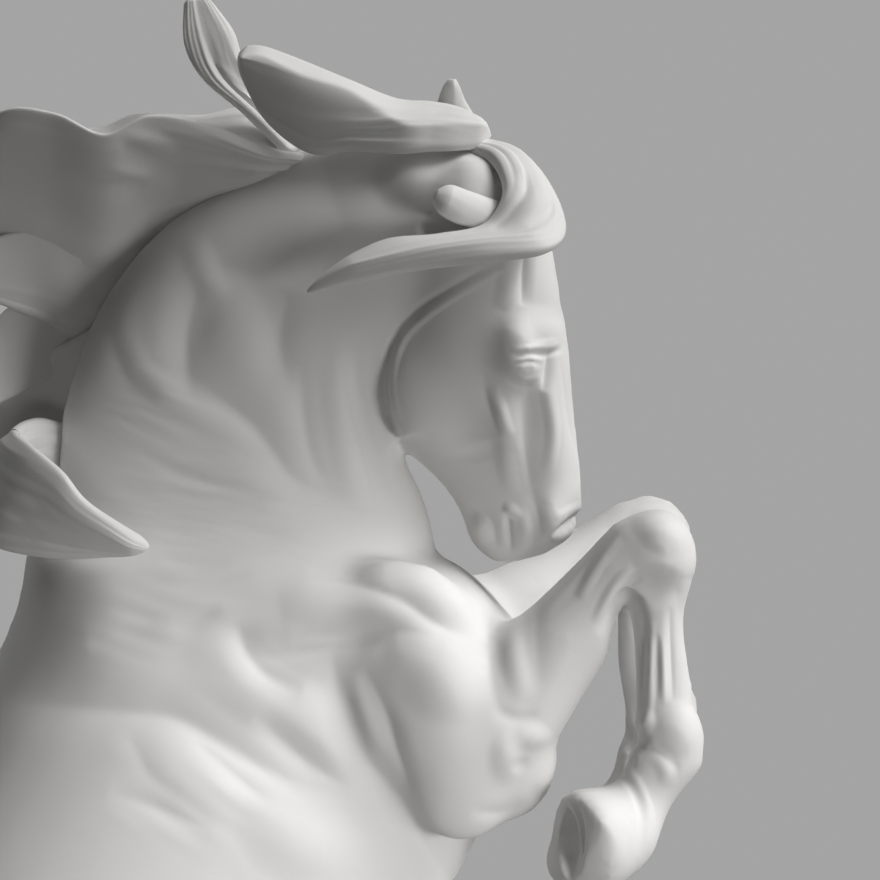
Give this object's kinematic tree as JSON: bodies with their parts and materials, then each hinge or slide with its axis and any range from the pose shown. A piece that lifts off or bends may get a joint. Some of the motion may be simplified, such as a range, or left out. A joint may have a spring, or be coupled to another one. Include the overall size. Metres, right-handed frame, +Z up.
{
  "type": "porcelain horse sculpture",
  "caption": "Rearing horse figure in matt biscuit porcelain with an arched neck and wind-blown mane, standing on its hind hooves and tail on a low oval ground that rests on a shelf.",
  "frame": {"origin": "middle of the flat underside that the figure stands on", "axes": "+Z up, +X the way the horse faces, +Y to the horse's left"},
  "size_m": [0.3322, 0.112, 0.4855],
  "materials": {
    "body_porcelain": "unglazed, matt, lightly polished biscuit",
    "hair_porcelain": "unglazed, matt, combed with strands",
    "ground_porcelain": "unglazed, matt"
  },
  "bodies": {
    "root": {"ground": "ground_porcelain", "torso": "body_porcelain", "neck": "body_porcelain", "head": "body_porcelain", "right_forearm": "body_porcelain", "right_fore_shank": "body_porcelain", "left_forearm": "body_porcelain", "left_fore_shank": "body_porcelain", "right_hind_shank": "body_porcelain", "left_hind_shank": "body_porcelain", "right_ear": "body_porcelain", "left_ear": "body_porcelain", "poll_lock": "hair_porcelain", "upright_lock": "hair_porcelain", "crest_wave": "hair_porcelain", "crest_fall": "hair_porcelain", "back_wave": "hair_porcelain", "withers_lock": "hair_porcelain", "forelock": "hair_porcelain", "left_upper_lock": "hair_porcelain", "left_middle_lock": "hair_porcelain", "left_lower_lock": "hair_porcelain", "tail_dock": "hair_porcelain", "tail_right": "hair_porcelain", "tail_left": "hair_porcelain"}
  },
  "joints": []
}
